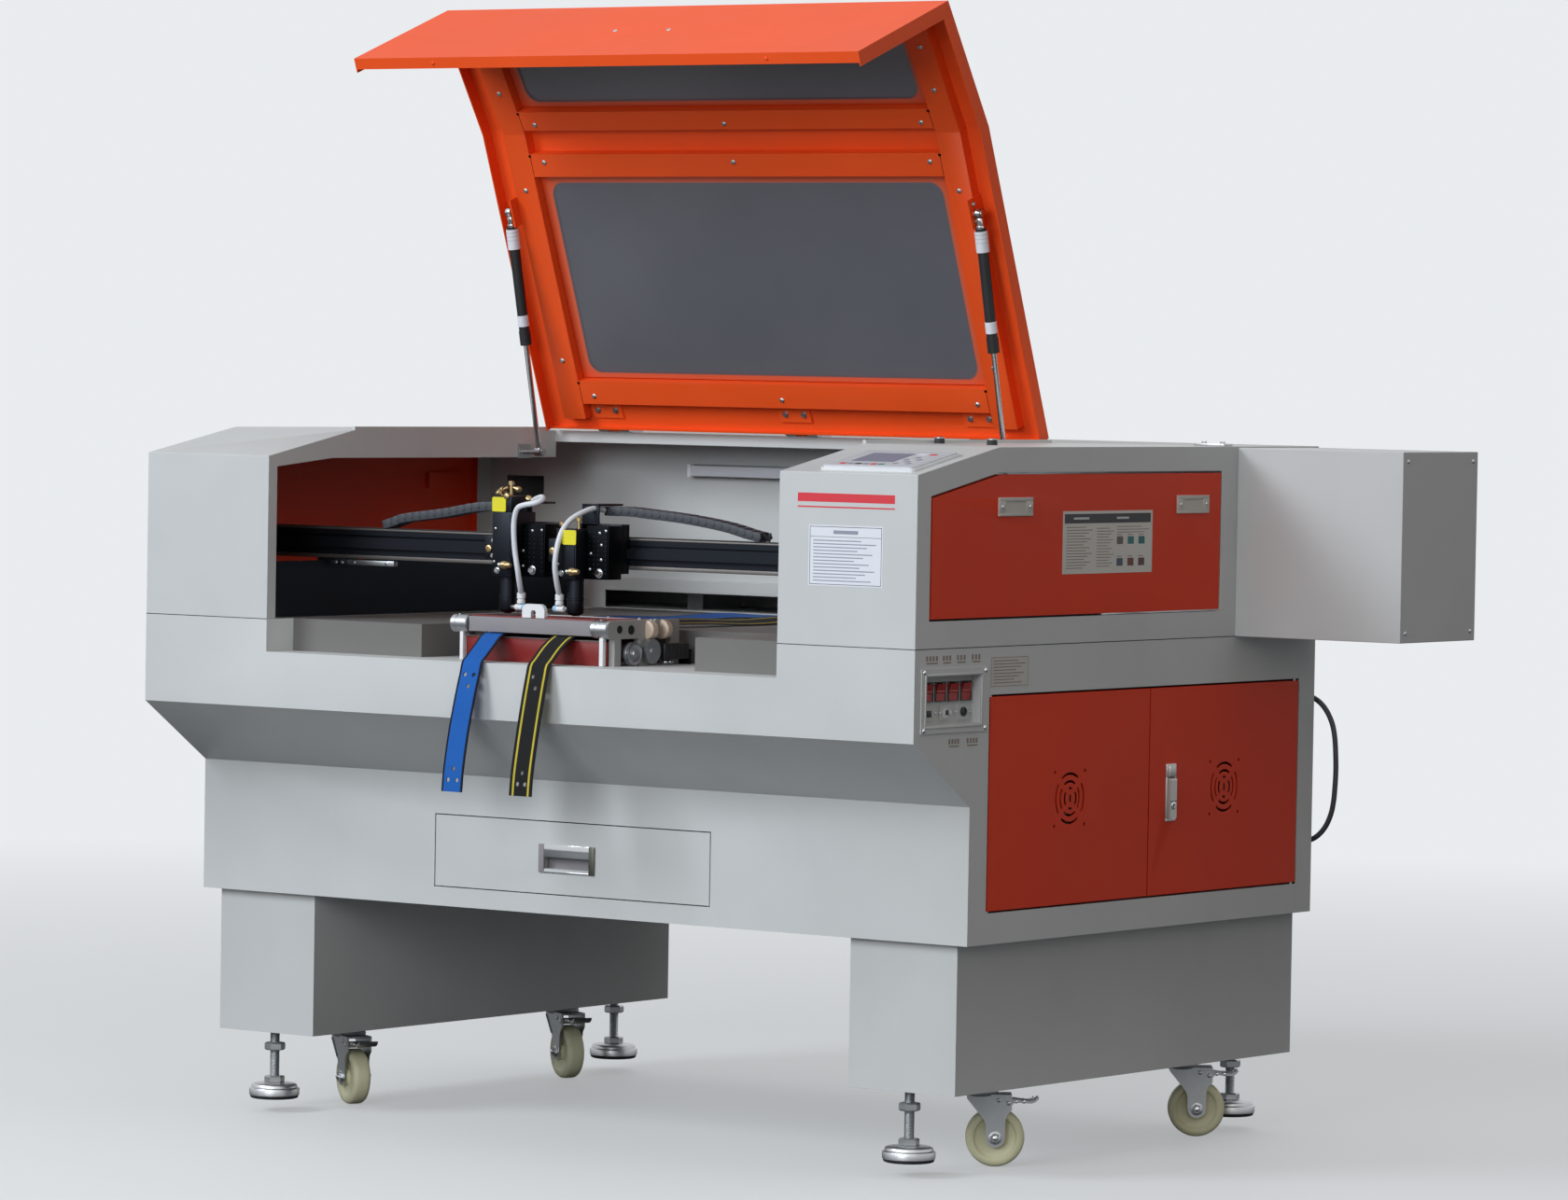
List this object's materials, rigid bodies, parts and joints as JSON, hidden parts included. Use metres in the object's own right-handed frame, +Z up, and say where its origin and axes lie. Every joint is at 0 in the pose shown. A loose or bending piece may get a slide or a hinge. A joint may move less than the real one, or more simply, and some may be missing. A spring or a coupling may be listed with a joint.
{
  "type": "webbing laser cutting machine",
  "caption": "Webbing laser cutting machine: sheet metal cabinet on castors with a tilting windowed lid, a gantry carrying cutting heads and a webbing feeder.",
  "frame": {"origin": "on the floor under the middle of the machine's overall width and depth", "axes": "+X to the machine's right seen from its front, +Y to its back, +Z up"},
  "size_m": [1.6845, 1.1306, 1.6596],
  "materials": {
    "grey_paint": "satin powder coat",
    "bed_white": "satin powder coat",
    "orange_paint": "gloss powder coat",
    "hatch_red": "satin powder coat",
    "smoked_window": "smoked acrylic",
    "tube_glass": "clear glass",
    "zinc": "zinc plated",
    "chromed": "polished",
    "feeder_alu": "brushed",
    "black_alu": "black anodised",
    "castor_nylon": "cream nylon",
    "black_plastic": "moulded",
    "red_plastic": "moulded",
    "panel_grey": "membrane panel",
    "lamp_white": "opal cover",
    "cable_grey": "dark grey sheath",
    "blue_webbing": "woven",
    "black_webbing": "woven"
  },
  "bodies": {
    "machine_body": {"upper_body": "grey_paint", "cabinet": "grey_paint", "work_table": "bed_white", "tube_cover": "grey_paint", "laser_tube": "tube_glass", "body_fittings": "zinc", "underside_fixings": "zinc", "electrics": "lamp_white", "y_rails": "black_alu", "rear_fittings": "zinc", "cable_loop": "cable_grey", "switch_plate": "grey_paint", "control_panel": "panel_grey", "feeder_frame": "feeder_alu", "strap_blue": "blue_webbing", "strap_black": "black_webbing"},
    "lid": {"lid_shell": "orange_paint", "lid_windows": "smoked_window", "lid_fittings": "zinc"},
    "strut_tube_left": {"strut_tube_left": "black_plastic"},
    "strut_tube_right": {"strut_tube_right": "black_plastic"},
    "strut_rod_left": {"strut_rod_left": "chromed"},
    "strut_rod_right": {"strut_rod_right": "chromed"},
    "hatch_right": {"hatch_right": "hatch_red"},
    "hatch_left": {"hatch_left": "hatch_red"},
    "latch_right_front": {"latch_right_front": "zinc"},
    "latch_right_rear": {"latch_right_rear": "zinc"},
    "latch_left_front": {"latch_left_front": "zinc"},
    "latch_left_rear": {"latch_left_rear": "zinc"},
    "door_front": {"door_front": "hatch_red"},
    "door_rear": {"door_rear": "hatch_red"},
    "door_handle": {"door_handle": "zinc"},
    "drawer": {"drawer": "grey_paint"},
    "gantry_beam": {"gantry_beam": "black_alu"},
    "head_1": {"head_1": "black_alu"},
    "head_2": {"head_2": "black_alu"},
    "energy_chain_1": {"energy_chain_1": "black_plastic"},
    "energy_chain_2": {"energy_chain_2": "black_plastic"},
    "feed_roller": {"feed_roller": "feeder_alu"},
    "rocker_1": {"rocker_1": "red_plastic"},
    "rocker_2": {"rocker_2": "red_plastic"},
    "rocker_3": {"rocker_3": "red_plastic"},
    "rocker_4": {"rocker_4": "red_plastic"},
    "foot_front_left": {"foot_front_left": "zinc"},
    "foot_front_right": {"foot_front_right": "zinc"},
    "foot_rear_left": {"foot_rear_left": "zinc"},
    "foot_rear_right": {"foot_rear_right": "zinc"},
    "fork_front_left": {"fork_front_left": "zinc"},
    "wheel_front_left": {"wheel_front_left": "castor_nylon"},
    "brake_front_left": {"brake_front_left": "zinc"},
    "fork_front_right": {"fork_front_right": "zinc"},
    "wheel_front_right": {"wheel_front_right": "castor_nylon"},
    "brake_front_right": {"brake_front_right": "zinc"},
    "fork_rear_left": {"fork_rear_left": "zinc"},
    "wheel_rear_left": {"wheel_rear_left": "castor_nylon"},
    "brake_rear_left": {"brake_rear_left": "zinc"},
    "fork_rear_right": {"fork_rear_right": "zinc"},
    "wheel_rear_right": {"wheel_rear_right": "castor_nylon"},
    "brake_rear_right": {"brake_rear_right": "zinc"}
  },
  "joints": [
    {"name": "lid_hinge", "type": "hinge", "parent": "machine_body", "child": "lid", "pos_m": [-0.141, 0.16372, 1.031], "axis": [1, 0, 0], "range_deg": [0, 69.4]},
    {"name": "strut_left_hinge", "type": "hinge", "parent": "lid", "child": "strut_tube_left", "pos_m": [-0.575, 0.00546, 1.35824], "axis": [1, 0, 0], "range_deg": [0, 7.63]},
    {"name": "strut_left_slide", "type": "slide", "parent": "strut_tube_left", "child": "strut_rod_left", "axis": [0, -0.2141, 0.9768], "range_m": [0, 0.09157]},
    {"name": "strut_right_hinge", "type": "hinge", "parent": "lid", "child": "strut_tube_right", "pos_m": [0.293, 0.00546, 1.35824], "axis": [1, 0, 0], "range_deg": [0, 7.63]},
    {"name": "strut_right_slide", "type": "slide", "parent": "strut_tube_right", "child": "strut_rod_right", "axis": [0, -0.2141, 0.9768], "range_m": [0, 0.09157]},
    {"name": "gantry_slide", "type": "slide", "parent": "machine_body", "child": "gantry_beam", "axis": [0, 1, 0], "range_m": [-0.01, 0.5]},
    {"name": "head_1_slide", "type": "slide", "parent": "gantry_beam", "child": "head_1", "axis": [1, 0, 0], "range_m": [-0.23, 0.008]},
    {"name": "head_2_slide", "type": "slide", "parent": "gantry_beam", "child": "head_2", "axis": [1, 0, 0], "range_m": [-0.008, 0.35]},
    {"name": "chain_1_slide", "type": "slide", "parent": "gantry_beam", "child": "energy_chain_1", "axis": [1, 0, 0], "range_m": [-0.116, 0.005]},
    {"name": "chain_2_slide", "type": "slide", "parent": "gantry_beam", "child": "energy_chain_2", "axis": [1, 0, 0], "range_m": [-0.005, 0.176]},
    {"name": "hatch_right_hinge", "type": "hinge", "parent": "machine_body", "child": "hatch_right", "pos_m": [0.554, -0.1145, 0.794], "axis": [0, 1, 0], "range_deg": [0, 90]},
    {"name": "hatch_left_hinge", "type": "hinge", "parent": "machine_body", "child": "hatch_left", "pos_m": [-0.836, -0.1145, 0.794], "axis": [0, -1, 0], "range_deg": [0, 90]},
    {"name": "latch_right_front_hinge", "type": "hinge", "parent": "hatch_right", "child": "latch_right_front", "pos_m": [0.5595, -0.2785, 0.9484], "axis": [0, -1, 0], "range_deg": [0, 60]},
    {"name": "latch_left_front_hinge", "type": "hinge", "parent": "hatch_left", "child": "latch_left_front", "pos_m": [-0.8415, -0.2785, 0.9484], "axis": [0, 1, 0], "range_deg": [0, 60]},
    {"name": "latch_right_rear_hinge", "type": "hinge", "parent": "hatch_right", "child": "latch_right_rear", "pos_m": [0.5595, 0.177, 0.9484], "axis": [0, -1, 0], "range_deg": [0, 60]},
    {"name": "latch_left_rear_hinge", "type": "hinge", "parent": "hatch_left", "child": "latch_left_rear", "pos_m": [-0.8415, 0.177, 0.9484], "axis": [0, 1, 0], "range_deg": [0, 60]},
    {"name": "door_front_hinge", "type": "hinge", "parent": "machine_body", "child": "door_front", "pos_m": [0.554, -0.3245, 0.528], "axis": [0, 0, -1], "range_deg": [0, 100]},
    {"name": "door_rear_hinge", "type": "hinge", "parent": "machine_body", "child": "door_rear", "pos_m": [0.554, 0.4715, 0.528], "axis": [0, 0, 1], "range_deg": [0, 100]},
    {"name": "door_handle_hinge", "type": "hinge", "parent": "door_rear", "child": "door_handle", "pos_m": [0.562, 0.1315, 0.5435], "axis": [0, -1, 0], "range_deg": [0, 70]},
    {"name": "drawer_slide", "type": "slide", "parent": "machine_body", "child": "drawer", "axis": [0, -1, 0], "range_m": [0, 0.35]},
    {"name": "feed_roller_spin", "type": "hinge", "parent": "machine_body", "child": "feed_roller", "pos_m": [-0.141, -0.3755, 0.7207], "axis": [1, 0, 0], "continuous": true},
    {"name": "rocker_1_tilt", "type": "hinge", "parent": "machine_body", "child": "rocker_1", "pos_m": [0.546, -0.4681, 0.688], "axis": [0, -1, 0], "range_deg": [0, 20]},
    {"name": "rocker_2_tilt", "type": "hinge", "parent": "machine_body", "child": "rocker_2", "pos_m": [0.546, -0.4373, 0.688], "axis": [0, -1, 0], "range_deg": [0, 20]},
    {"name": "rocker_3_tilt", "type": "hinge", "parent": "machine_body", "child": "rocker_3", "pos_m": [0.546, -0.4065, 0.688], "axis": [0, -1, 0], "range_deg": [0, 20]},
    {"name": "rocker_4_tilt", "type": "hinge", "parent": "machine_body", "child": "rocker_4", "pos_m": [0.546, -0.3757, 0.688], "axis": [0, -1, 0], "range_deg": [0, 20]},
    {"name": "foot_front_left_screw", "type": "slide", "parent": "machine_body", "child": "foot_front_left", "axis": [0, 0, -1], "range_m": [0, 0.02]},
    {"name": "foot_front_right_screw", "type": "slide", "parent": "machine_body", "child": "foot_front_right", "axis": [0, 0, -1], "range_m": [0, 0.02]},
    {"name": "foot_rear_left_screw", "type": "slide", "parent": "machine_body", "child": "foot_rear_left", "axis": [0, 0, -1], "range_m": [0, 0.02]},
    {"name": "foot_rear_right_screw", "type": "slide", "parent": "machine_body", "child": "foot_rear_right", "axis": [0, 0, -1], "range_m": [0, 0.02]},
    {"name": "castor_front_left_swivel", "type": "hinge", "parent": "machine_body", "child": "fork_front_left", "pos_m": [-0.7245, -0.1705, 0.11], "axis": [0, 0, 1], "continuous": true},
    {"name": "wheel_front_left_spin", "type": "hinge", "parent": "fork_front_left", "child": "wheel_front_left", "pos_m": [-0.70434, -0.18158, 0.042], "axis": [0.4818, 0.8763, 0], "continuous": true},
    {"name": "brake_front_left_hinge", "type": "hinge", "parent": "fork_front_left", "child": "brake_front_left", "pos_m": [-0.68857, -0.19025, 0.092], "axis": [0.4818, 0.8763, 0], "range_deg": [0, 25]},
    {"name": "castor_front_right_swivel", "type": "hinge", "parent": "machine_body", "child": "fork_front_right", "pos_m": [0.4425, -0.1705, 0.11], "axis": [0, 0, 1], "continuous": true},
    {"name": "wheel_front_right_spin", "type": "hinge", "parent": "fork_front_right", "child": "wheel_front_right", "pos_m": [0.46111, -0.15698, 0.042], "axis": [-0.5878, 0.809, 0], "continuous": true},
    {"name": "brake_front_right_hinge", "type": "hinge", "parent": "fork_front_right", "child": "brake_front_right", "pos_m": [0.47567, -0.1464, 0.092], "axis": [-0.5878, 0.809, 0], "range_deg": [0, 25]},
    {"name": "castor_rear_left_swivel", "type": "hinge", "parent": "machine_body", "child": "fork_rear_left", "pos_m": [-0.7245, 0.3565, 0.11], "axis": [0, 0, 1], "continuous": true},
    {"name": "wheel_rear_left_spin", "type": "hinge", "parent": "fork_rear_left", "child": "wheel_rear_left", "pos_m": [-0.70434, 0.34542, 0.042], "axis": [0.4818, 0.8763, 0], "continuous": true},
    {"name": "brake_rear_left_hinge", "type": "hinge", "parent": "fork_rear_left", "child": "brake_rear_left", "pos_m": [-0.68857, 0.33675, 0.092], "axis": [0.4818, 0.8763, 0], "range_deg": [0, 25]},
    {"name": "castor_rear_right_swivel", "type": "hinge", "parent": "machine_body", "child": "fork_rear_right", "pos_m": [0.4425, 0.3565, 0.11], "axis": [0, 0, 1], "continuous": true},
    {"name": "wheel_rear_right_spin", "type": "hinge", "parent": "fork_rear_right", "child": "wheel_rear_right", "pos_m": [0.46111, 0.37002, 0.042], "axis": [-0.5878, 0.809, 0], "continuous": true},
    {"name": "brake_rear_right_hinge", "type": "hinge", "parent": "fork_rear_right", "child": "brake_rear_right", "pos_m": [0.47567, 0.3806, 0.092], "axis": [-0.5878, 0.809, 0], "range_deg": [0, 25]}
  ],
  "couplings": [
    {"joint": "strut_left_hinge", "follows": "lid_hinge", "ratio": 0.10415},
    {"joint": "strut_left_slide", "follows": "lid_hinge", "m_per_rad": 0.07436},
    {"joint": "strut_right_hinge", "follows": "lid_hinge", "ratio": 0.10415},
    {"joint": "strut_right_slide", "follows": "lid_hinge", "m_per_rad": 0.07436},
    {"joint": "chain_1_slide", "follows": "head_1_slide", "ratio": 0.5},
    {"joint": "chain_2_slide", "follows": "head_2_slide", "ratio": 0.5}
  ]
}
